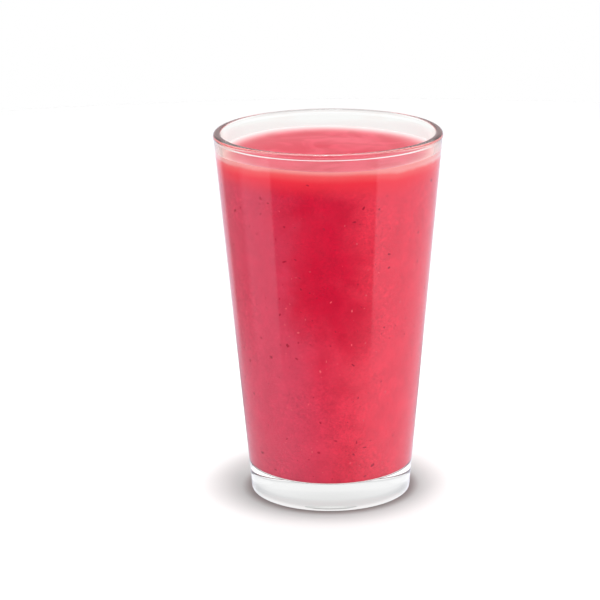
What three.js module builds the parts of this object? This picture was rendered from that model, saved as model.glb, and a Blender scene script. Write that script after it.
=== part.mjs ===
// A strawberry smoothie in a plain tapered mixing glass.
//
// Millimetres, +Z up. The origin is the centre of the foot, on the table. Both solids are turned
// about Z from an outline whose x is the radius and whose y is the height.

import * as THREE from 'three';

// Glass
const RIM_RADIUS = 44.5; // outside, at the fullest part of the lip
const FOOT_RADIUS = 32; // outside, at the top of the heel
const GLASS_HEIGHT = 144.7;
const LIP_THICKNESS = 3;
const LIP_OUTER_EDGE = 0.9; // rounding radii of the lip
const LIP_INNER_EDGE = 2;
const HEEL_WIDTH = 0.9; // rounded edge between foot and wall: inward along the foot
const HEEL_HEIGHT = 5; // and up the wall
const HEEL_FULLNESS = 0.55; // share of those that the curve's handles take
const FLOOR_THICKNESS = 10.5; // solid glass under the drink
const LOW_WALL_THICKNESS = 3.3; // just above the inside corner
const CORNER_RADIUS = 2; // inside, between wall and floor

// Drink
const DRINK_DROP = 8; // from the rim down to the level of the surface
const DRINK_GAP = 0.3; // clearance to the glass all round
const MENISCUS_RISE = 1.3; // climb of the surface where it meets the wall
const MENISCUS_REACH = 1.6;
const SWIRL_HEIGHT = 0.3; // half the height of the ridge left by stirring
const SWIRL_PITCH = 55; // radius gained in one turn of the ridge
const SWIRL_START = [2, 11]; // radii over which the ridge grows
const SWIRL_END = [25, 37]; // radii over which it dies away
const EDGE_WAVE = 0.3; // half the unevenness of the line where drink meets glass
const EDGE_LOBES = 3;
const EDGE_PHASE = 0.6;

// Faceting
const SEGMENTS = 72; // round the axis
const ARC_STEPS = 4; // the heel gets this many facets and every other rounded edge twice as many
const SURFACE_RINGS = 16; // rings of facets across the drink's surface
const RING_CROWDING = 1.5; // above 1 crowds the rings towards the wall

// Centres of the lip's edges and of the inside corner, with the walls that run up to the lip
const outerLip = new THREE.Vector2(RIM_RADIUS - LIP_OUTER_EDGE, GLASS_HEIGHT - LIP_OUTER_EDGE);
const innerLip = new THREE.Vector2(
  RIM_RADIUS - LIP_THICKNESS + LIP_INNER_EDGE,
  GLASS_HEIGHT - LIP_INNER_EDGE,
);
const wallFoot = new THREE.Vector2(FOOT_RADIUS, HEEL_HEIGHT);
const outerLean = tangentLean(wallFoot, 0, outerLip, LIP_OUTER_EDGE);

const cornerHeight = FLOOR_THICKNESS + CORNER_RADIUS;
const cornerOffset = LOW_WALL_THICKNESS + CORNER_RADIUS;
const corner = new THREE.Vector2(outerRadiusAt(cornerHeight) - cornerOffset, cornerHeight);
const innerLean = tangentLean(corner, CORNER_RADIUS, innerLip, -LIP_INNER_EDGE);

const drinkLevel = GLASS_HEIGHT - DRINK_DROP;
const drinkEdgeRadius = innerRadiusAt(drinkLevel) - DRINK_GAP / Math.cos(innerLean);

/** Angle from the vertical of the line that touches two circles, a negative radius on its far side. */
function tangentLean(low, lowRadius, high, highRadius) {
  const centres = new THREE.Vector2().subVectors(high, low);
  return Math.atan2(centres.x, centres.y) - Math.asin((lowRadius - highRadius) / centres.length());
}

function outerRadiusAt(height) {
  return FOOT_RADIUS + (height - HEEL_HEIGHT) * Math.tan(outerLean);
}

function innerRadiusAt(height) {
  const touch = innerLip.x - LIP_INNER_EDGE * Math.cos(innerLean);
  const touchHeight = innerLip.y + LIP_INNER_EDGE * Math.sin(innerLean);
  return touch + (height - touchHeight) * Math.tan(innerLean);
}

/** Height of the drink's surface above its level: meniscus, stirred ridge and uneven edge. */
function surfaceRelief(radius, angle) {
  const meniscus = MENISCUS_RISE * Math.exp((radius - drinkEdgeRadius) / MENISCUS_REACH);
  const growth = THREE.MathUtils.smoothstep(radius, ...SWIRL_START);
  const decay = 1 - THREE.MathUtils.smoothstep(radius, ...SWIRL_END);
  const turns = radius / SWIRL_PITCH;
  const swirl = SWIRL_HEIGHT * growth * decay * Math.cos(angle - turns * 2 * Math.PI);
  const share = (radius / drinkEdgeRadius) ** EDGE_LOBES;
  const edge = EDGE_WAVE * share * Math.cos(EDGE_LOBES * angle + EDGE_PHASE);
  return meniscus + swirl + edge;
}

/** Turns an outline about the vertical axis and stands it along +Z. */
function turned(outline) {
  return new THREE.LatheGeometry(outline, SEGMENTS).rotateX(Math.PI / 2);
}

/** Flat foot, heel, outer wall, lip, inner wall and floor of the glass in one closed outline. */
function glassGeometry() {
  const footEdge = FOOT_RADIUS - HEEL_WIDTH;
  const alongFoot = footEdge + HEEL_FULLNESS * HEEL_WIDTH;
  const downWall = HEEL_HEIGHT * (1 - HEEL_FULLNESS);
  const outline = new THREE.Path();
  outline.moveTo(0, 0);
  outline.lineTo(footEdge, 0);
  outline.bezierCurveTo(alongFoot, 0, outerRadiusAt(downWall), downWall, wallFoot.x, wallFoot.y);
  outline.absarc(outerLip.x, outerLip.y, LIP_OUTER_EDGE, -outerLean, Math.PI / 2, false);
  outline.absarc(innerLip.x, innerLip.y, LIP_INNER_EDGE, Math.PI / 2, Math.PI - innerLean, false);
  outline.absarc(corner.x, corner.y, CORNER_RADIUS, -innerLean, -Math.PI / 2, true);
  outline.lineTo(0, FLOOR_THICKNESS);
  return turned(outline.getPoints(ARC_STEPS));
}

/** The drink fills the glass to its level, and its surface then takes the relief. */
function drinkGeometry() {
  const outline = new THREE.Path();
  outline.moveTo(0, FLOOR_THICKNESS + DRINK_GAP);
  outline.lineTo(corner.x, FLOOR_THICKNESS + DRINK_GAP);
  outline.absarc(corner.x, corner.y, CORNER_RADIUS - DRINK_GAP, -Math.PI / 2, -innerLean, false);
  for (let ring = 0; ring <= SURFACE_RINGS; ring++) {
    const inward = (ring / SURFACE_RINGS) ** RING_CROWDING;
    outline.lineTo(drinkEdgeRadius * (1 - inward), drinkLevel);
  }
  const geometry = turned(outline.getPoints(ARC_STEPS));
  const positions = geometry.getAttribute('position');
  const point = new THREE.Vector3();
  for (let i = 0; i < positions.count; i++) {
    point.fromBufferAttribute(positions, i);
    if (point.z < corner.y) continue; // below the surface only the floor and its corner have points
    const relief = surfaceRelief(Math.hypot(point.x, point.y), Math.atan2(point.y, point.x));
    positions.setZ(i, point.z + relief);
  }
  return geometry;
}

function piece(name, geometry, material) {
  const mesh = new THREE.Mesh(geometry, material);
  mesh.name = name;
  return mesh;
}

const clearGlass = new THREE.MeshStandardMaterial({
  color: 0xf2f5f4,
  roughness: 0.03,
  metalness: 0,
  transparent: true,
  opacity: 0.3,
});
const strawberryDrink = new THREE.MeshStandardMaterial({
  color: 0xd9355a,
  roughness: 0.35,
  metalness: 0,
});

const smoothieInGlass = new THREE.Group();
smoothieInGlass.add(piece('glass', glassGeometry(), clearGlass));
smoothieInGlass.add(piece('smoothie', drinkGeometry(), strawberryDrink));

export default smoothieInGlass;
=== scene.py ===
"""Looks of a strawberry smoothie in a tapered mixing glass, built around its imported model.

Every length is in metres, in the frame of the model: +Z up, the origin at the centre of the foot, and
-Y towards the camera.
"""

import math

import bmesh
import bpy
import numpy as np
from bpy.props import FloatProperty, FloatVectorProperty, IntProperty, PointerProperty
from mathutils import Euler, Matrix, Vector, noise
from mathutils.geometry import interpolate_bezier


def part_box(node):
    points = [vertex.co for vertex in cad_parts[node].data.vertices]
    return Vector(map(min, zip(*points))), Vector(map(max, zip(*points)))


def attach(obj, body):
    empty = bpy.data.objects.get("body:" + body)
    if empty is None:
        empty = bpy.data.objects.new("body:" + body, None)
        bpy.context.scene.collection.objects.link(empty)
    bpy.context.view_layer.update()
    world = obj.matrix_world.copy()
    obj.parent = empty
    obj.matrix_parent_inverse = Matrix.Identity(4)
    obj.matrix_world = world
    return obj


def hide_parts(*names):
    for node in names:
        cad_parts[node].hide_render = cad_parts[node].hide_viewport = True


bl_info = {
    "name": "Strawberry Smoothie",
    "version": (1, 0, 0),
    "blender": (4, 5, 0),
    "location": "View3D > Sidebar > Smoothie",
    "description": "Builds a glass of strawberry smoothie, its seeds and pulp, and a studio",
    "category": "Object",
}

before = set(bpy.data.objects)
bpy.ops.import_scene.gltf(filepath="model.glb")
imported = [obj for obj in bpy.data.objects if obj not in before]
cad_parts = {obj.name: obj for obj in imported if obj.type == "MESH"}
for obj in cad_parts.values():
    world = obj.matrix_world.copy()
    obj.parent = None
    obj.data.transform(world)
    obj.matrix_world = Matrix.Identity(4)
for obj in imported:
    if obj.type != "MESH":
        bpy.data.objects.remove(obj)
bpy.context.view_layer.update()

BODY = "root"
FULL_TURN = 2 * math.pi
QUARTER_TURN = math.pi / 2
AXIS_MARGIN = 1e-5


def highest_on_axis(node):
    """Highest point of a node on the axis of the glass."""
    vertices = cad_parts[node].data.vertices
    return max(vertex.co.z for vertex in vertices if vertex.co.xy.length < AXIS_MARGIN)


GLASS_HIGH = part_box("glass")[1]
FLOOR_HEIGHT = highest_on_axis("glass")
DRINK_LEVEL = highest_on_axis("smoothie")


# Settings


def length(name, description, default):
    return FloatProperty(
        name=name, description=description, default=default, min=0, precision=5, unit="LENGTH"
    )


def colour(name, description, default):
    return FloatVectorProperty(
        name=name, description=description, default=default, size=3, min=0, max=1, subtype="COLOR"
    )


def number(name, description, default, unit="NONE"):
    return FloatProperty(name=name, description=description, default=default, precision=3, unit=unit)


def count(name, description, default):
    return IntProperty(name=name, description=description, default=default, min=0)


def angle(name, description, degrees):
    return FloatProperty(
        name=name, description=description, default=math.radians(degrees), subtype="ANGLE"
    )


class GlassSettings(bpy.types.PropertyGroup):
    rim_radius: length("Rim radius", "Outside of the lip", GLASS_HIGH.x)
    height: length("Height", "From the table to the top of the lip", GLASS_HIGH.z)
    foot_radius: length("Foot radius", "Outside of the wall at the top of the heel", 0.032)
    lip_thickness: length("Lip thickness", "From the outside to the inside of the lip", 0.003)
    lip_outer_edge: length("Lip outer edge", "Rounding of the outer edge of the lip", 0.0014)
    lip_inner_edge: length("Lip inner edge", "Rounding of the inner edge of the lip", 0.001)
    bead: length("Bead", "How far the lip stands out from the wall under it", 0.0002)
    bead_fillet: length("Bead fillet", "Rounding between bead and wall", 0.0012)
    heel_width: length("Heel width", "How far the rounding of the foot goes inward", 0.0006)
    heel_height: length("Heel height", "How far that rounding goes up", 0.005)
    floor_height: length("Floor height", "Solid glass under the drink", FLOOR_HEIGHT)
    low_wall: length("Low wall", "Wall thickness just above the inside corner", 0.0033)
    corner_radius: length("Corner radius", "Rounding between inner wall and floor", 0.002)
    ripple: length("Ripple", "Faint unevenness of the walls", 0.00003)
    ripple_length: length("Ripple length", "Distance between swells of that unevenness", 0.03)
    index: number("Refractive index", "Of soda-lime glass", 1.52)
    tint: colour("Tint", "Share of light that each surface lets by", (0.985, 0.99, 0.985))
    smear_tint: colour("Smear tint", "The same where drink has wetted the sides", (0.93, 0.68, 0.64))
    shadow_tint: colour("Shadow tint", "Share that each surface lets by in shadows", (0.93, 0.93, 0.93))
    foot_tint: colour("Foot tint", "The same in shadows at the foot", (0.6, 0.58, 0.58))


class DrinkSettings(bpy.types.PropertyGroup):
    level: length("Level", "Height of the surface at the middle", DRINK_LEVEL)
    reach: length("Reach", "How far the drink reaches into the wall, so that no air shows", 0.00015)
    meniscus_rise: length("Meniscus rise", "Climb of the surface at the wall", 0.0013)
    meniscus_reach: length("Meniscus reach", "Width of that climb", 0.0016)
    swirl_height: length("Swirl height", "Half the height of the stirred ridge", 0.0003)
    swirl_pitch: length("Swirl pitch", "Radius gained in one turn of the ridge", 0.055)
    edge_wave: length("Edge wave", "Half the unevenness of the drink's edge", 0.0003)
    crimson: colour("Crimson", "Deep cloud high in the middle", (0.63, 0.006, 0.037))
    # Painted shade: the duller mauve makes the left of the body darker
    painted_shade_mauve: colour("Mauve", "Duller body on the left", (0.66, 0.042, 0.092))
    rose: colour("Rose", "Pinker body on the right", (0.82, 0.042, 0.08))
    # Painted shade: surface and streak are darker than the body to offset the stronger light from
    # overhead
    surface: colour("Surface", "Top of the drink", (0.52, 0.0165, 0.045))
    streak: colour("Streak", "Paler streaks on the top of the drink", (0.62, 0.044, 0.085))
    # Scarlet and blush are partly the drink's airy top and partly painted light that comes in through its
    # surface
    scarlet_and_painted_light: colour("Scarlet", "Bright layer a few millimetres down", (0.92, 0.036, 0.06))
    blush_and_painted_light: colour("Blush", "Airy layer just under the surface", (0.95, 0.12, 0.13))
    froth: colour("Froth", "Pale line where drink meets glass", (0.97, 0.33, 0.32))
    film: colour("Film", "Edge of the surface, where it thins against the wall", (0.98, 0.78, 0.77))
    film_width: length("Film width", "How soon that pale edge fades inward", 0.0024)
    index: number("Refractive index", "Of the drink", 1.345)
    wall_index: number("Wall index", "Of the drink's airy skin, as a share of that of glass", 0.84)


class FleckSettings(bpy.types.PropertyGroup):
    seed_count: count("Seeds", "Seed bits against the glass", 420)
    seed_length: length("Seed length", "Of a whole seed", 0.0013)
    seed_colour: colour("Seed colour", "Of a wet seed", (0.5, 0.016, 0.046))
    pulp_count: count("Pulp flecks", "Pale pulp flecks against the glass", 360)
    pulp_length: length("Pulp length", "Of a whole fleck", 0.0009)
    pulp_colour: colour("Pulp colour", "Of pale flesh", (0.92, 0.11, 0.15))
    scatter: count("Scatter", "Start of the random draws that place the bits", 7)


class StageSettings(bpy.types.PropertyGroup):
    camera_distance: length("Camera distance", "Along the table from the axis of the glass", 0.918)
    camera_height: length("Camera height", "Above the table", 0.3381)
    camera_pitch: angle("Camera pitch", "Downward tilt", 15.89)
    camera_yaw: angle("Camera yaw", "Turn to the left", 0.72)
    camera_roll: angle("Camera roll", "Turn about the line of sight, counterclockwise", -0.65)
    lens: number("Lens", "Focal length in millimetres", 145.35, unit="CAMERA")
    floor_radius: length("Floor radius", "Of the white floor", 0.8)
    floor_drop: length("Floor drop", "Air between the foot and the floor", 0.0002)
    floor_colour: colour("Floor colour", "Of the white floor", (0.95, 0.95, 0.95))
    # Painted shadow: the floor's colour in the ring where the glass touches it
    contact_shadow_colour: colour("Contact colour", "The same where the glass touches it", (0.6, 0.54, 0.54))
    mirrored_near: length("Mirrored near", "Where the floor starts to fade in the glass", 0.1)
    mirrored_far: length("Mirrored far", "Where the glass mirrors no more of the floor", 0.26)
    front_light: number("Front light", "Radiance of the white tent low in front of the glass", 1.52)
    front_top_light: number("Front top light", "Radiance of the tent higher up in front", 0.2)
    right_light: number("Right light", "Radiance of the tent low on its brighter right side", 1.6)
    back_light: number("Back light", "Radiance of the tent high behind the glass", 1.13)
    mirrored_back_light: number("Mirrored back light", "The same as the glass mirrors it", 1.9)
    backdrop_light: number("Backdrop light", "Radiance of the backdrop under that", 0.98)
    backdrop_top_light: number("Backdrop top light", "The same along its upper edge", 0.74)
    key_light: number("Key light", "Radiance of the lamp high overhead", 104)
    top_light: number("Top light", "Radiance of the softbox overhead", 9)


# Outlines and heights

# Radii over which the stirred ridge grows and dies away
SWIRL_START = (0.002, 0.011)
SWIRL_END = (0.025, 0.037)
EDGE_LOBES = 3
EDGE_PHASE = 0.6


def tangent_lean(low, low_radius, high, high_radius):
    """Angle from the vertical of the line touching two circles, a negative radius on its far side."""
    centres = high - low
    return math.atan2(centres.x, centres.y) - math.asin((low_radius - high_radius) / centres.length)


def arc(centre, radius, start, end, steps):
    """Points of an arc from one angle to another."""
    angles = np.linspace(start, end, steps + 1)
    return [(centre.x + radius * math.cos(a), centre.y + radius * math.sin(a)) for a in angles]


def straight(start, end, steps):
    """Points between two others, without those two."""
    shares = np.linspace(0, 1, steps + 1)[1:-1]
    return [tuple(Vector(start).lerp(Vector(end), share)) for share in shares]


class GlassShape:
    """The rounded edges of the glass and the slopes of the walls between them."""

    def __init__(self, glass):
        outer_edge = glass.lip_outer_edge
        self.inner_edge = glass.lip_inner_edge
        inside = glass.rim_radius - glass.lip_thickness
        self.outer_lip = Vector((glass.rim_radius - outer_edge, glass.height - outer_edge))
        self.inner_lip = Vector((inside + self.inner_edge, glass.height - self.inner_edge))
        self.wall_foot = Vector((glass.foot_radius, glass.heel_height))
        neck_radius = outer_edge - glass.bead
        self.outer_lean = tangent_lean(self.wall_foot, 0, self.outer_lip, neck_radius)
        reach = outer_edge + glass.bead_fillet
        self.bead_turn = -self.outer_lean - math.acos((neck_radius + glass.bead_fillet) / reach)
        outward = Vector((math.cos(self.bead_turn), math.sin(self.bead_turn)))
        self.fillet = self.outer_lip + reach * outward
        corner_height = glass.floor_height + glass.corner_radius
        corner_offset = glass.low_wall + glass.corner_radius
        self.corner = Vector((self.outer_radius_at(corner_height) - corner_offset, corner_height))
        self.inner_lean = tangent_lean(
            self.corner, glass.corner_radius, self.inner_lip, -self.inner_edge
        )

    def outer_radius_at(self, height):
        return self.wall_foot.x + (height - self.wall_foot.y) * math.tan(self.outer_lean)

    def inner_radius_at(self, height):
        touch = self.inner_lip.x - self.inner_edge * math.cos(self.inner_lean)
        touch_height = self.inner_lip.y + self.inner_edge * math.sin(self.inner_lean)
        return touch + (height - touch_height) * math.tan(self.inner_lean)


def smoothstep(value, low, high):
    share = min(max((value - low) / (high - low), 0), 1)
    return share * share * (3 - 2 * share)


def surface_relief(drink, edge_radius, radius, turn):
    """Height of the drink's surface above its level: meniscus, stirred ridge and uneven edge."""
    meniscus = drink.meniscus_rise * math.exp((radius - edge_radius) / drink.meniscus_reach)
    growth = smoothstep(radius, *SWIRL_START)
    decay = 1 - smoothstep(radius, *SWIRL_END)
    ridge = math.cos(turn - radius / drink.swirl_pitch * FULL_TURN)
    swirl = drink.swirl_height * growth * decay * ridge
    share = (radius / edge_radius) ** EDGE_LOBES
    edge = drink.edge_wave * share * math.cos(EDGE_LOBES * turn + EDGE_PHASE)
    return meniscus + swirl + edge


# Meshes

TURN_STEPS = 288


def turned_mesh(name, outline):
    """Turns an outline that starts and ends on the axis about Z into a closed smooth mesh."""
    turns = np.arange(TURN_STEPS) * FULL_TURN / TURN_STEPS
    vertices = [(0, 0, outline[0][1])]
    for radius, height in outline[1:-1]:
        vertices += [(radius * math.cos(turn), radius * math.sin(turn), height) for turn in turns]
    vertices.append((0, 0, outline[-1][1]))
    last_ring = 1 + (len(outline) - 3) * TURN_STEPS
    end = len(vertices) - 1
    faces = []
    for step in range(TURN_STEPS):
        after = (step + 1) % TURN_STEPS
        faces.append((0, 1 + after, 1 + step))
        faces += [
            (ring + step, ring + after, ring + TURN_STEPS + after, ring + TURN_STEPS + step)
            for ring in range(1, last_ring, TURN_STEPS)
        ]
        faces.append((last_ring + step, last_ring + after, end))
    mesh = bpy.data.meshes.new(name)
    mesh.from_pydata(vertices, [], faces)
    mesh.shade_smooth()
    return mesh


def add_piece(name, mesh, material_slot, *materials):
    """Links a mesh and its materials as a piece that rides on the glass; the material slot it is given is
    not used.
    """
    piece = bpy.data.objects.new(name, mesh)
    bpy.context.scene.collection.objects.link(piece)
    for material in materials:
        mesh.materials.append(material)
    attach(piece, BODY)
    return piece


# Shader helpers

# Colour sockets of a mix node, which share their names with its sockets for numbers
MIX_ENDS = (6, 7)
MIX_RESULT = 2


def new_material(name):
    material = bpy.data.materials.new(name)
    material.use_nodes = True
    material.node_tree.nodes.clear()
    return material, material.node_tree


def add_node(tree, kind, inputs=None, **settings):
    """A node with its settings, and its inputs set to values or linked to sockets."""
    node = tree.nodes.new(kind)
    for name, value in settings.items():
        setattr(node, name, value)
    for key, value in (inputs or {}).items():
        if isinstance(value, bpy.types.NodeSocket):
            tree.links.new(value, node.inputs[key])
        else:
            node.inputs[key].default_value = value
    return node


def opaque(rgb):
    return (*rgb, 1)


def mixed_colour(tree, share, first, second):
    """Colour between two others; each may be a plain colour or a socket."""
    sockets = {0: share}
    for key, end in zip(MIX_ENDS, (first, second)):
        sockets[key] = end if isinstance(end, bpy.types.NodeSocket) else opaque(end)
    node = add_node(tree, "ShaderNodeMix", sockets, data_type="RGBA", clamp_factor=True)
    return node.outputs[MIX_RESULT]


def mixed_shader(tree, share, first, second):
    return add_node(tree, "ShaderNodeMixShader", {0: share, 1: first, 2: second}).outputs[0]


def matte(tree, rgb, roughness):
    """Shader without a gloss of its own."""
    inputs = {"Base Color": rgb, "Roughness": roughness, "Specular IOR Level": 0.0}
    return add_node(tree, "ShaderNodeBsdfPrincipled", inputs).outputs[0]


def eased(tree, value, low, high, start=0.0, end=1.0):
    """Smooth step of a socket from one value to another."""
    limits = {"Value": value, "From Min": low, "From Max": high, "To Min": start, "To Max": end}
    node = add_node(tree, "ShaderNodeMapRange", limits, interpolation_type="SMOOTHSTEP")
    return node.outputs[0]


def maths(tree, operation, *values):
    """Result of a sum on sockets and numbers."""
    return add_node(tree, "ShaderNodeMath", dict(enumerate(values)), operation=operation).outputs[0]


def grain(tree, position, size, detail=2.0, distortion=0.0):
    """Soft noise whose blobs are about this size."""
    inputs = {
        "Vector": position,
        "Scale": 1 / size,
        "Detail": detail,
        "Roughness": 0.6,
        "Distortion": distortion,
    }
    return add_node(tree, "ShaderNodeTexNoise", inputs).outputs[0]


def object_position(tree):
    return add_node(tree, "ShaderNodeTexCoord").outputs["Object"]


def axes_of(tree, vector):
    return add_node(tree, "ShaderNodeSeparateXYZ", {0: vector}).outputs


def mesh_value(tree, attribute):
    """What a mesh notes at each of its points under this name."""
    return add_node(tree, "ShaderNodeAttribute", attribute_name=attribute).outputs["Fac"]


def finish_material(tree, surface):
    add_node(tree, "ShaderNodeOutputMaterial", {"Surface": surface})


# Finishes

# Distances that the drink's mesh notes at its points
BELOW_EDGE = "below_edge"
FROM_WALL = "from_wall"

# A pair of places, heights, depths or noise values says where a change begins and where it is complete
SIDE_ENDS = (0.03, 0.041)  # towards the left and right ends of the glass

SMEAR_SIZE = 0.02
SMEAR_NOISE = (0.45, 0.75)
SMEAR_ROUGHNESS = 0.02
WETTED_RISE = 0.0015  # above the drink's level
WETTED_FRONT = (0.012, -0.004)
FOOT_SHADE_HEIGHTS = (0.012, 0.003)

CLOUD_SIZE = 0.024
CLOUD_SHARE = 0.34  # of the noise in the ripeness
CLOUD_SLANT = 0.12  # leftward lean of the cloud's axis for its height
CLOUD_MIDDLE = 0.0097  # where that axis would meet the table
CLOUD_FALLOFF = -440  # times the squared distance from the axis
CLOUD_HEIGHTS = (0.04, 0.085)
CLOUD_LIFT = 0.16  # added to the ripeness above those heights
CLOUD_RIPENESS = (0.13, 0.36)
# Where the body turns from the darker mauve of painted shade on the left to rose on the right
ROSE_SIDE = (-0.015, 0.015)

BLOB_SIZE = 0.007
BLOB_CONTRAST = 0.4
BLOB_DARKEST = 0.8
FIBRE_SIZE = 0.0011
FIBRE_MIDDLE = 0.5  # noise value that changes nothing
PATCH_SIZE = 0.022
PATCH_NOISE = (0.4, 0.62)
PATCH_CONTRAST = (0.25, 0.7)

CLOT_SIZE = 0.009
LATHER_RIGHT = (0.01, 0.03)
LATHER_RIGHT_DEPTHS = (0.0004, 0.003)
LATHER_LEFT = (-0.016, -0.03)
LATHER_LEFT_DEPTHS = (0.0, 0.0012)
FROTH_DEPTHS = (-0.0002, 0.0018)
# Depths of the bright layers, which are partly painted light from the surface
BLUSH_DEPTHS = (0.0006, 0.0048)
SCARLET_DEPTHS = (0.002, 0.012)
PALEST_FROTH = 0.4  # share of film in the froth at the side ends

STREAK_SIZE = 0.018
STREAK_NOISE = (0.38, 0.64)

FLECK_PATCH_SIZE = 0.004
FLECK_NOISE = (0.35, 0.65)
FLECK_DARKEST = 0.75


def towards_sides(tree, side, most=1.0):
    """Grows from nothing to a share at the left and right ends of the glass."""
    return eased(tree, maths(tree, "ABSOLUTE", side), *SIDE_ENDS, 0.0, most)


def clear_glass(glass, drink):
    """Clear glass, smeared above the drink at the sides of its front, which lets lamp light through."""
    material, tree = new_material("clear_glass")
    position = object_position(tree)
    place = axes_of(tree, position)
    above_drink = eased(tree, place["Z"], drink.level, drink.level + WETTED_RISE)
    at_sides = maths(tree, "MULTIPLY", towards_sides(tree, place["X"]), above_drink)
    wetted = maths(tree, "MULTIPLY", at_sides, eased(tree, place["Y"], *WETTED_FRONT))
    smears = grain(tree, position, SMEAR_SIZE, detail=4.0)
    body = add_node(
        tree,
        "ShaderNodeBsdfPrincipled",
        {
            "Base Color": mixed_colour(tree, wetted, glass.tint, glass.smear_tint),
            "Roughness": eased(tree, smears, *SMEAR_NOISE, 0.0, SMEAR_ROUGHNESS),
            "IOR": glass.index,
            "Transmission Weight": 1.0,
        },
    )
    at_foot = eased(tree, place["Z"], *FOOT_SHADE_HEIGHTS)
    shade = mixed_colour(tree, at_foot, glass.shadow_tint, glass.foot_tint)
    through = add_node(tree, "ShaderNodeBsdfTransparent", {"Color": shade}).outputs[0]
    path = add_node(tree, "ShaderNodeLightPath").outputs
    open_to_lamps = mixed_shader(tree, path["Is Shadow Ray"], body.outputs[0], through)
    open_to_bounces = mixed_shader(tree, path["Is Diffuse Ray"], open_to_lamps, through)
    finish_material(tree, open_to_bounces)
    return material


def body_colour(tree, drink, position):
    """A crimson cloud high in the middle of the body, which is rosier on the right and made darker and
    duller on the left as painted shade.
    """
    place = axes_of(tree, position)
    clouds = grain(tree, position, CLOUD_SIZE, detail=5.0, distortion=0.6)
    slanted = maths(tree, "MULTIPLY_ADD", place["Z"], CLOUD_SLANT, place["X"])
    aside = maths(tree, "SUBTRACT", slanted, CLOUD_MIDDLE)
    falloff = maths(tree, "MULTIPLY", maths(tree, "MULTIPLY", aside, aside), CLOUD_FALLOFF)
    upward = eased(tree, place["Z"], *CLOUD_HEIGHTS, 0.0, CLOUD_LIFT)
    ripeness = maths(tree, "MULTIPLY_ADD", clouds, CLOUD_SHARE, maths(tree, "ADD", upward, falloff))
    # Painted shade: the body is darker and duller mauve on the left
    mixed = mixed_colour(tree, eased(tree, place["X"], *ROSE_SIDE), drink.painted_shade_mauve, drink.rose)
    return mixed_colour(tree, eased(tree, ripeness, *CLOUD_RIPENESS), mixed, drink.crimson)


def pulpy(tree, position, rgb):
    """A colour made uneven by blobs of pulp a few millimetres wide and by patches of fibres."""
    blobs = grain(tree, position, BLOB_SIZE, detail=5.0)
    fibres = grain(tree, position, FIBRE_SIZE, detail=3.0, distortion=0.8)
    patches = eased(tree, grain(tree, position, PATCH_SIZE), *PATCH_NOISE, *PATCH_CONTRAST)
    uneven = maths(tree, "MULTIPLY_ADD", blobs, BLOB_CONTRAST, BLOB_DARKEST)
    value = maths(
        tree, "MULTIPLY_ADD", maths(tree, "SUBTRACT", fibres, FIBRE_MIDDLE), patches, uneven
    )
    return add_node(tree, "ShaderNodeHueSaturation", {"Color": rgb, "Value": value}).outputs[0]


def side_colour(tree, drink, position):
    """Froth at the edge, airy and bright layers under it that are partly painted light, then the pulpy
    body.
    """
    side = axes_of(tree, position)["X"]
    right = eased(tree, side, *LATHER_RIGHT, *LATHER_RIGHT_DEPTHS)
    left = eased(tree, side, *LATHER_LEFT, *LATHER_LEFT_DEPTHS)
    clots = grain(tree, position, CLOT_SIZE, detail=5.0)
    lather = maths(tree, "MULTIPLY", maths(tree, "ADD", left, right), clots)
    depth = maths(tree, "SUBTRACT", mesh_value(tree, BELOW_EDGE), lather)
    body = pulpy(tree, position, body_colour(tree, drink, position))
    # Partly painted light: the layers under the surface are brighter than the body
    layered = mixed_colour(tree, eased(tree, depth, *SCARLET_DEPTHS), drink.scarlet_and_painted_light, body)
    airy = mixed_colour(tree, eased(tree, depth, *BLUSH_DEPTHS), drink.blush_and_painted_light, layered)
    froth = mixed_colour(tree, towards_sides(tree, side, PALEST_FROTH), drink.froth, drink.film)
    return mixed_colour(tree, eased(tree, depth, *FROTH_DEPTHS), froth, airy)


def drink_side(drink):
    """The drink where it lies against the glass, which mirrors only what travels along the wall."""
    material, tree = new_material("smoothie_side")
    body = matte(tree, side_colour(tree, drink, object_position(tree)), roughness=0.8)
    mirror = add_node(tree, "ShaderNodeBsdfGlossy", {"Roughness": 0.0}).outputs[0]
    grazing = add_node(tree, "ShaderNodeFresnel", {"IOR": drink.wall_index}).outputs[0]
    finish_material(tree, mixed_shader(tree, grazing, body, mirror))
    return material


def drink_top(drink):
    """The wet surface of the drink, streaked by stirring and thinning to a pale film at the wall, its
    colours darkened as painted shade against the light from overhead.
    """
    material, tree = new_material("smoothie_top")
    streaks = grain(tree, object_position(tree), STREAK_SIZE, distortion=1.0)
    # Painted shade: the top's colours are darker than the side's to offset the light from overhead
    stirred = mixed_colour(tree, eased(tree, streaks, *STREAK_NOISE), drink.surface, drink.streak)
    inward = maths(tree, "MULTIPLY", mesh_value(tree, FROM_WALL), -1 / drink.film_width)
    thinning = maths(tree, "EXPONENT", inward)
    body = add_node(
        tree,
        "ShaderNodeBsdfPrincipled",
        {
            "Base Color": mixed_colour(tree, thinning, stirred, drink.film),
            "Roughness": 0.3,
            "IOR": drink.index,
            "Specular IOR Level": 0.1,
        },
    )
    finish_material(tree, body.outputs[0])
    return material


def fleck_finish(name, rgb):
    """Wet seed or pulp with a little variation from one bit to the next."""
    material, tree = new_material(name)
    variation = grain(tree, object_position(tree), FLECK_PATCH_SIZE)
    darker = tuple(channel * FLECK_DARKEST for channel in rgb)
    varied = mixed_colour(tree, eased(tree, variation, *FLECK_NOISE), darker, rgb)
    finish_material(tree, matte(tree, varied, roughness=0.6))
    return material


# Pieces

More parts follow.
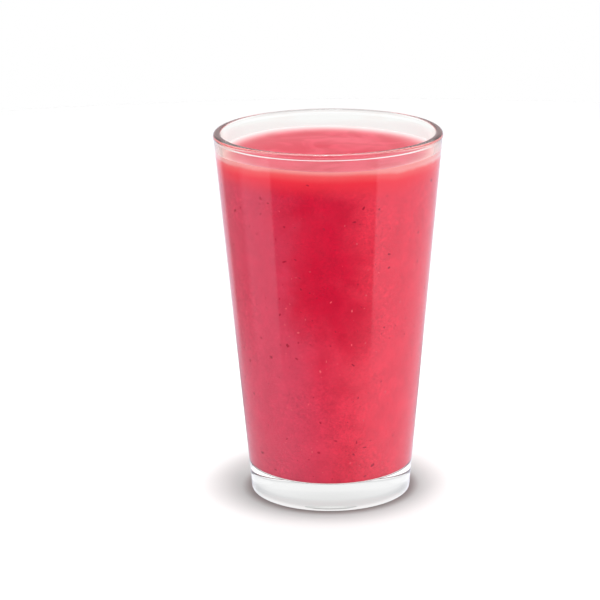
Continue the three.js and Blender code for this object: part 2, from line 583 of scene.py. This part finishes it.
WALL_STEPS = 60
EDGE_STEPS = 16
HEEL_FULLNESS = 0.55  # share of the heel that its curve's handles take
SURFACE_RINGS = 90
RING_CROWDING = 1.5  # above 1 crowds the rings towards the wall
LEVEL_MARGIN = 1e-7
FLAT_MARGIN = 0.0003  # narrow flat ring beside a rounding, so that the flat shades flat
FACING_UP = 0.5  # least upward part of the normal of a face on the surface

BIT_RINGS = 6
BIT_SIDES = 8
BIT_CLEARANCE = 0.003  # kept under the drink's level
BIT_LENGTHS = (0.25, 0.45, 1.8)  # least, likeliest and greatest share of the whole length
BIT_WIDTHS = (0.3, 0.8)  # shares of a bit's own length
BIT_SINKING = (0.35, 0.85)  # shares of half its thickness


def heel_curve(glass, shape):
    """Points from the flat foot round to the wall, leaving each along its own direction."""
    foot_edge = Vector((glass.foot_radius - glass.heel_width, 0))
    along_foot = foot_edge + Vector((HEEL_FULLNESS * glass.heel_width, 0))
    wall_drop = HEEL_FULLNESS * glass.heel_height
    down_wall = shape.wall_foot - wall_drop * Vector((math.tan(shape.outer_lean), 1))
    return interpolate_bezier(foot_edge, along_foot, down_wall, shape.wall_foot, EDGE_STEPS + 1)


def glass_outline(glass):
    """Foot, heel, outer wall, bead, lip, inner wall and floor of the glass."""
    shape = GlassShape(glass)
    heel = heel_curve(glass, shape)
    foot = [(0, 0), (heel[0].x / 2, 0), (heel[0].x - FLAT_MARGIN, 0)]
    fillet_start = math.pi - shape.outer_lean
    fillet_end = math.pi + shape.bead_turn
    lip_end = math.pi - shape.inner_lean
    fillet = arc(shape.fillet, glass.bead_fillet, fillet_start, fillet_end, EDGE_STEPS)
    outer_lip = arc(shape.outer_lip, glass.lip_outer_edge, shape.bead_turn, QUARTER_TURN, EDGE_STEPS)
    inner_lip = arc(shape.inner_lip, glass.lip_inner_edge, QUARTER_TURN, lip_end, EDGE_STEPS)
    corner = arc(shape.corner, glass.corner_radius, -shape.inner_lean, -QUARTER_TURN, EDGE_STEPS)
    outer_wall = straight(heel[-1], fillet[0], WALL_STEPS)
    inner_wall = straight(inner_lip[-1], corner[0], WALL_STEPS)
    outside = foot + [tuple(point) for point in heel] + outer_wall + fillet[:-1]
    floor = [(shape.corner.x - FLAT_MARGIN, glass.floor_height), (0, glass.floor_height)]
    return outside + outer_lip + inner_lip + inner_wall + corner + floor


def ripple_glass(mesh, glass):
    """Gives the walls the faint swells of a pressed glass, fullest halfway up."""
    for vertex in mesh.vertices:
        outward = Vector((vertex.co.x, vertex.co.y, 0))
        share = vertex.co.z / glass.height
        if share > 0 and outward.length > 0:
            bulge = 4 * share * (1 - share)
            swell = noise.noise(vertex.co / glass.ripple_length) * bulge
            vertex.co += outward.normalized() * swell * glass.ripple


def drink_outline(glass, drink):
    """Floor, side and rings of the surface, with the radius of the surface's edge."""
    shape = GlassShape(glass)
    side_radius = glass.corner_radius + drink.reach
    corner = arc(shape.corner, side_radius, -QUARTER_TURN, -shape.inner_lean, EDGE_STEPS)
    edge_radius = shape.inner_radius_at(drink.level) + drink.reach
    rings = [
        (edge_radius * (1 - (ring / SURFACE_RINGS) ** RING_CROWDING), drink.level)
        for ring in range(SURFACE_RINGS + 1)
    ]
    side = straight(corner[-1], rings[0], WALL_STEPS)
    return [(0, glass.floor_height - drink.reach)] + corner + side + rings, edge_radius


def shape_surface(mesh, drink, edge_radius):
    """Lifts the surface by its relief, and notes how far each point lies below and inside its edge."""
    for attribute in (BELOW_EDGE, FROM_WALL):
        mesh.attributes.new(attribute, "FLOAT", "POINT")
    depths = mesh.attributes[BELOW_EDGE].data
    distances = mesh.attributes[FROM_WALL].data
    for vertex in mesh.vertices:
        turn = math.atan2(vertex.co.y, vertex.co.x)
        edge_height = drink.level + surface_relief(drink, edge_radius, edge_radius, turn)
        if vertex.co.z > drink.level - LEVEL_MARGIN:
            vertex.co.z += surface_relief(drink, edge_radius, vertex.co.xy.length, turn)
        depths[vertex.index].value = edge_height - vertex.co.z
        distances[vertex.index].value = edge_radius - vertex.co.xy.length


def part_surface(mesh, edge_radius):
    """Gives the surface the second material, with a sharp edge where it meets the side."""
    for face in mesh.polygons:
        if face.normal.z > FACING_UP:
            face.material_index = 1
    for edge in mesh.edges:
        ends = [mesh.vertices[end].co for end in edge.vertices]
        edge.use_edge_sharp = all(end.xy.length > edge_radius - LEVEL_MARGIN for end in ends)


def lat_long_ball(rings, sides):
    """Points and faces of a unit ball along Z, one point at each pole."""
    points = [(0, 0, -1)]
    for ring in range(1, rings):
        polar = math.pi * ring / rings
        radius = math.sin(polar)
        for side in range(sides):
            turn = FULL_TURN * side / sides
            points.append((radius * math.cos(turn), radius * math.sin(turn), -math.cos(polar)))
    points.append((0, 0, 1))
    top = len(points) - 1
    faces = []
    for side in range(sides):
        after = (side + 1) % sides
        faces.append((0, 1 + after, 1 + side))
        for ring in range(rings - 2):
            low = 1 + ring * sides
            faces.append((low + side, low + after, low + sides + after, low + sides + side))
        last = 1 + (rings - 2) * sides
        faces.append((last + side, last + after, top))
    return np.array(points), faces


def joined_mesh(name, bits, faces):
    """One mesh of many bits that share the same faces."""
    vertices = np.concatenate(bits)
    starts = range(0, len(vertices), len(bits[0]))
    all_faces = [tuple(start + corner for corner in face) for start in starts for face in faces]
    mesh = bpy.data.meshes.new(name)
    mesh.from_pydata(vertices.tolist(), [], all_faces)
    mesh.shade_smooth()
    return mesh


def wall_bits(glass, drink, draws, amount, whole_length, flatness, pointed):
    """Bits that lie against the glass, sunk in the side of the drink by varying amounts."""
    shape = GlassShape(glass)
    ball, faces = lat_long_ball(BIT_RINGS, BIT_SIDES)
    taper = 1 - pointed * ball[:, 2]
    slope = Vector((math.cos(shape.inner_lean), math.sin(shape.inner_lean)))
    low = shape.corner.y
    high = drink.level - BIT_CLEARANCE
    bits = []
    for _ in range(amount):
        height = low + (high - low) * draws.random()
        turn = FULL_TURN * draws.random()
        long_half = whole_length / 2 * draws.triangular(*BIT_LENGTHS)
        wide_half = long_half * draws.uniform(*BIT_WIDTHS)
        deep_half = long_half * flatness
        roll = draws.uniform(0, FULL_TURN)
        sunk = deep_half * draws.uniform(*BIT_SINKING)
        deep = ball[:, 0] * deep_half
        wide = ball[:, 1] * wide_half * taper
        long = ball[:, 2] * long_half
        across = wide * math.cos(roll) - long * math.sin(roll)
        along = wide * math.sin(roll) + long * math.cos(roll)
        radius = shape.inner_radius_at(height) + drink.reach - sunk
        outward = radius + deep * slope.x + along * slope.y
        upward = height - deep * slope.y + along * slope.x
        x = outward * math.cos(turn) - across * math.sin(turn)
        y = outward * math.sin(turn) + across * math.cos(turn)
        bits.append(np.stack([x, y, upward], axis=1))
    return bits, faces


class SMOOTHIE_OT_glass(bpy.types.Operator):
    """Builds the clear mixing glass"""

    bl_idname = "smoothie.glass"
    bl_label = "Glass"

    def execute(self, context):
        glass = context.scene.smoothie_glass
        drink = context.scene.smoothie_drink
        mesh = turned_mesh("mixing_glass", glass_outline(glass))
        ripple_glass(mesh, glass)
        piece = add_piece("mixing_glass", mesh, "clear_glass", clear_glass(glass, drink))
        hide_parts("glass")
        return {"FINISHED"}


class SMOOTHIE_OT_drink(bpy.types.Operator):
    """Fills the glass with smoothie up to its level"""

    bl_idname = "smoothie.drink"
    bl_label = "Drink"

    def execute(self, context):
        glass = context.scene.smoothie_glass
        drink = context.scene.smoothie_drink
        outline, edge_radius = drink_outline(glass, drink)
        mesh = turned_mesh("smoothie_body", outline)
        shape_surface(mesh, drink, edge_radius)
        part_surface(mesh, edge_radius)
        piece = add_piece("smoothie_body", mesh, "smoothie", drink_side(drink), drink_top(drink))
        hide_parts("smoothie")
        return {"FINISHED"}


class SMOOTHIE_OT_flecks(bpy.types.Operator):
    """Scatters seed bits and pulp flecks where the drink lies against the glass"""

    bl_idname = "smoothie.flecks"
    bl_label = "Seeds and pulp"

    def execute(self, context):
        glass = context.scene.smoothie_glass
        drink = context.scene.smoothie_drink
        fleck = context.scene.smoothie_flecks
        draws = np.random.default_rng(fleck.scatter)
        seeds = wall_bits(
            glass, drink, draws, fleck.seed_count, fleck.seed_length, flatness=0.35, pointed=0.35
        )
        pulp = wall_bits(
            glass, drink, draws, fleck.pulp_count, fleck.pulp_length, flatness=0.3, pointed=0.1
        )
        seed_mesh = joined_mesh("seed_bits", *seeds)
        pulp_mesh = joined_mesh("pulp_flecks", *pulp)
        add_piece("seed_bits", seed_mesh, "smoothie", fleck_finish("seed", fleck.seed_colour))
        add_piece("pulp_flecks", pulp_mesh, "smoothie", fleck_finish("pulp", fleck.pulp_colour))
        return {"FINISHED"}


# Stage

WHITE = (1, 1, 1)

# Floor: pairs of distances from the axis, or of places to the side, and the painted light, painted shade
# and painted shadow between them
FLOOR_SIDES = 96
# Ring of painted shadow round the foot of the glass
CONTACT_SHADOW_RING = (0.0315, 0.0365)
REFRACTED_WHITE = (0.94, 0.94, 0.93)
REFRACTED_NEAR = (0.095, 0.075)
REFRACTED_NEAR_LIGHT = (0.0, 1.3)
REFRACTED_FAR = (0.1, 0.3)
REFRACTED_FAR_LIGHT = (0.35, 1.0)
MIRRORED_MIDDLE = (-0.02, 0.02)
MIRRORED_SIDEWAYS = (0.1, 0.95)  # sideways part of the way from the axis
MIRRORED_FLOOR_LIGHT = (0.2, 1.1)

# Colours of what the glass mirrors, and turns to the right from the camera's side that part them
MIRRORED_LEFT_TINT = (0.68, 0.69, 0.78)
MIRRORED_RIGHT_TINT = (0.88, 0.88, 1.0)
MIRRORED_DARK = (0.02, 0.02, 0.02)
MIRRORED_DIM = (0.36, 0.34, 0.36)
MIRRORED_BACKDROP = (1.0, 0.78, 0.79)
MIRRORED_LEFT = math.radians(-63)
MIRRORED_RIGHT = math.radians(52)
MIRRORED_FAR_LEFT = math.radians(-104)
SIDE_SOFTNESS = 0.03
FAR_LEFT_SOFTNESS = 0.1

# Tent: pairs of parts of a unit direction along X, Y or Z
FAR_LEFT = (-0.5, -0.65)
RIGHT = (0.2, 0.95)
BACKWARD = (0.0, 0.5)
HORIZON = (-0.1, 0.05)
FRONT_TOP = (0.35, 0.6)
BACKDROP_TOP = (0.4, 0.37)
BACKDROP_SHADE = (0.338, 0.368)

SOFTBOX_PLACE = (0, 0.05, 0.9)
KEY_LAMP_PLACE = (0.025, -0.07, 1.6)
LAMP_SIZE = 0.2
LAMP_AIM = (0, 0, 0.08)
SENSOR_WIDTH = 36  # millimetres


def smooth_rays(tree):
    """One for rays that a smooth surface has just mirrored, and one for those it has just refracted."""
    path = add_node(tree, "ShaderNodeLightPath").outputs
    ways = (path["Is Reflection Ray"], path["Is Transmission Ray"])
    return [maths(tree, "MULTIPLY", path["Is Glossy Ray"], way) for way in ways]


def mirrored_floor(tree, stage, position, distance):
    """The floor as the glass mirrors it, glowing with painted light: bright at the sides, dim in the
    middle and gone further off.
    """
    side = axes_of(tree, position)["X"]
    sideways = maths(tree, "DIVIDE", maths(tree, "ABSOLUTE", side), distance)
    light = eased(tree, sideways, *MIRRORED_SIDEWAYS, *MIRRORED_FLOOR_LIGHT)
    rightward = eased(tree, side, *MIRRORED_MIDDLE)
    tint = mixed_colour(tree, rightward, MIRRORED_LEFT_TINT, MIRRORED_RIGHT_TINT)
    # Painted light: the floor glows here, though it is no lamp
    glow = add_node(tree, "ShaderNodeEmission", {"Color": tint, "Strength": light}).outputs[0]
    far = eased(tree, distance, stage.mirrored_near, stage.mirrored_far)
    clear = add_node(tree, "ShaderNodeBsdfTransparent").outputs[0]
    return mixed_shader(tree, far, glow, clear)


def refracted_floor(tree, distance):
    """The floor as it shows through the glass, glowing with painted light: bright near it and far off,
    with painted shade between.
    """
    near = eased(tree, distance, *REFRACTED_NEAR, *REFRACTED_NEAR_LIGHT)
    far = eased(tree, distance, *REFRACTED_FAR, *REFRACTED_FAR_LIGHT)
    light = maths(tree, "MAXIMUM", near, far)
    # Painted light and painted shade: the floor glows here, though it is no lamp
    glow = add_node(tree, "ShaderNodeEmission", {"Color": opaque(REFRACTED_WHITE), "Strength": light})
    return glow.outputs[0]


def white_floor(stage):
    """White, with a painted shadow where the glass touches it, and with painted light of its own in the
    glass.
    """
    material, tree = new_material("white_floor")
    position = object_position(tree)
    distance = add_node(tree, "ShaderNodeVectorMath", {0: position}, operation="LENGTH").outputs["Value"]
    # Painted shadow: the floor's colour turns darker in a ring where the glass touches it
    away = eased(tree, distance, *CONTACT_SHADOW_RING)
    paint = mixed_colour(tree, away, stage.contact_shadow_colour, stage.floor_colour)
    body = matte(tree, paint, roughness=0.9)
    reflected, refracted = smooth_rays(tree)
    mirrored = mirrored_floor(tree, stage, position, distance)
    seen = mixed_shader(tree, reflected, body, mirrored)
    finish_material(tree, mixed_shader(tree, refracted, seen, refracted_floor(tree, distance)))
    return material


def add_floor(stage):
    shape = bmesh.new()
    bmesh.ops.create_circle(shape, cap_ends=True, radius=stage.floor_radius, segments=FLOOR_SIDES)
    mesh = bpy.data.meshes.new("floor")
    shape.to_mesh(mesh)
    shape.free()
    mesh.materials.append(white_floor(stage))
    floor = bpy.data.objects.new("floor", mesh)
    floor.location.z = -stage.floor_drop
    bpy.context.scene.collection.objects.link(floor)


def turned_past(tree, direction, turn, side, softness):
    """One for directions to the right of a turn or, with side -1, to the left of it."""
    across = (side * math.cos(turn), side * math.sin(turn), 0)
    offset = add_node(
        tree, "ShaderNodeVectorMath", {0: direction, 1: across}, operation="DOT_PRODUCT"
    )
    return eased(tree, offset.outputs["Value"], -softness, softness)


def mirrored_below(tree, direction):
    """What the glass mirrors from under the horizon: dark in front, tinted at the sides, dim far left."""
    left = turned_past(tree, direction, MIRRORED_LEFT, -1, SIDE_SOFTNESS)
    right = turned_past(tree, direction, MIRRORED_RIGHT, 1, SIDE_SOFTNESS)
    behind_left = turned_past(tree, direction, MIRRORED_FAR_LEFT, -1, FAR_LEFT_SOFTNESS)
    leftward = eased(tree, axes_of(tree, direction)["X"], *FAR_LEFT)
    left_side = mixed_colour(tree, left, MIRRORED_DARK, MIRRORED_LEFT_TINT)
    both_sides = mixed_colour(tree, right, left_side, MIRRORED_RIGHT_TINT)
    far_left = maths(tree, "MULTIPLY", behind_left, leftward)
    return mixed_colour(tree, far_left, both_sides, MIRRORED_DIM)


def tent_in_front(tree, stage, parts):
    """The front of the tent, brighter on the right and dim higher up."""
    low_light = eased(tree, parts["X"], *RIGHT, stage.front_light, stage.right_light)
    high_light = (stage.front_top_light,) * 3
    return mixed_colour(tree, eased(tree, parts["Z"], *FRONT_TOP), low_light, high_light)


def tent_behind(tree, stage, parts, reflected):
    """The back of the tent over a backdrop that darkens towards its upper edge."""
    tent_light = eased(tree, reflected, 0, 1, stage.back_light, stage.mirrored_back_light)
    backdrop_light = eased(
        tree, parts["Z"], *BACKDROP_SHADE, stage.backdrop_light, stage.backdrop_top_light
    )
    backdrop = mixed_colour(tree, reflected, backdrop_light, MIRRORED_BACKDROP)
    return mixed_colour(tree, eased(tree, parts["Z"], *BACKDROP_TOP), tent_light, backdrop)


def add_tent(stage):
    """Light from a tent all round, which is plain white to the camera."""
    world = bpy.data.worlds.new("studio")
    bpy.context.scene.world = world
    world.use_nodes = True
    tree = world.node_tree
    tree.nodes.clear()
    direction = add_node(tree, "ShaderNodeTexCoord").outputs["Generated"]
    parts = axes_of(tree, direction)
    reflected = smooth_rays(tree)[0]
    below = mixed_colour(tree, reflected, WHITE, mirrored_below(tree, direction))
    in_front = tent_in_front(tree, stage, parts)
    behind = tent_behind(tree, stage, parts, reflected)
    above = mixed_colour(tree, eased(tree, parts["Y"], *BACKWARD), in_front, behind)
    light = mixed_colour(tree, eased(tree, parts["Z"], *HORIZON), below, above)
    tent = add_node(tree, "ShaderNodeBackground", {"Color": light}).outputs[0]
    plain = add_node(tree, "ShaderNodeBackground", {"Color": opaque(WHITE)}).outputs[0]
    path = add_node(tree, "ShaderNodeLightPath").outputs
    seen = mixed_shader(tree, path["Is Camera Ray"], tent, plain)
    add_node(tree, "ShaderNodeOutputWorld", {"Surface": seen})


def add_lamp(name, place, radiance):
    """A square lamp that faces the drink."""
    lamp = bpy.data.lights.new(name, "AREA")
    lamp.size = LAMP_SIZE
    lamp.energy = radiance * math.pi * LAMP_SIZE**2
    holder = bpy.data.objects.new(name, lamp)
    holder.location = place
    aim = Vector(LAMP_AIM) - holder.location
    holder.rotation_euler = aim.to_track_quat("-Z", "Y").to_euler()
    holder.visible_camera = False
    bpy.context.scene.collection.objects.link(holder)
    return holder


def add_camera(stage):
    lens = bpy.data.cameras.new("camera")
    lens.lens = stage.lens
    lens.sensor_width = SENSOR_WIDTH
    camera = bpy.data.objects.new("camera", lens)
    camera.location = (0, -stage.camera_distance, stage.camera_height)
    aim = Euler((QUARTER_TURN - stage.camera_pitch, 0, stage.camera_yaw)).to_matrix()
    camera.rotation_euler = (aim @ Matrix.Rotation(stage.camera_roll, 3, "Z")).to_euler()
    bpy.context.scene.collection.objects.link(camera)
    bpy.context.scene.camera = camera


class SMOOTHIE_OT_stage(bpy.types.Operator):
    """Sets the white floor, the soft studio light and the camera"""

    bl_idname = "smoothie.stage"
    bl_label = "Stage"

    def execute(self, context):
        stage = context.scene.smoothie_stage
        add_floor(stage)
        add_tent(stage)
        add_lamp("softbox", SOFTBOX_PLACE, stage.top_light)
        key_lamp = add_lamp("key_lamp", KEY_LAMP_PLACE, stage.key_light)
        key_lamp.visible_glossy = False
        add_camera(stage)
        context.scene.view_settings.view_transform = "Standard"
        context.scene.view_settings.look = "None"
        return {"FINISHED"}


class SMOOTHIE_PT_looks(bpy.types.Panel):
    """Lists the settings and the steps that build the smoothie"""

    bl_label = "Strawberry Smoothie"
    bl_space_type = "VIEW_3D"
    bl_region_type = "UI"
    bl_category = "Smoothie"

    def draw(self, context):
        for operator, settings in STEPS:
            box = self.layout.box()
            box.operator(operator.bl_idname)
            group = getattr(context.scene, settings)
            for name in group.__annotations__:
                box.prop(group, name)


STEPS = (
    (SMOOTHIE_OT_glass, "smoothie_glass"),
    (SMOOTHIE_OT_drink, "smoothie_drink"),
    (SMOOTHIE_OT_flecks, "smoothie_flecks"),
    (SMOOTHIE_OT_stage, "smoothie_stage"),
)
SETTINGS = {
    "smoothie_glass": GlassSettings,
    "smoothie_drink": DrinkSettings,
    "smoothie_flecks": FleckSettings,
    "smoothie_stage": StageSettings,
}
CLASSES = (*SETTINGS.values(), *(operator for operator, _ in STEPS), SMOOTHIE_PT_looks)


def register():
    for cls in CLASSES:
        bpy.utils.register_class(cls)
    for name, group in SETTINGS.items():
        setattr(bpy.types.Scene, name, PointerProperty(type=group))


def unregister():
    for name in SETTINGS:
        delattr(bpy.types.Scene, name)
    for cls in reversed(CLASSES):
        bpy.utils.unregister_class(cls)


def main():
    register()
    bpy.ops.smoothie.glass()
    bpy.ops.smoothie.drink()
    bpy.ops.smoothie.flecks()
    bpy.ops.smoothie.stage()


if __name__ == "__main__":
    main()
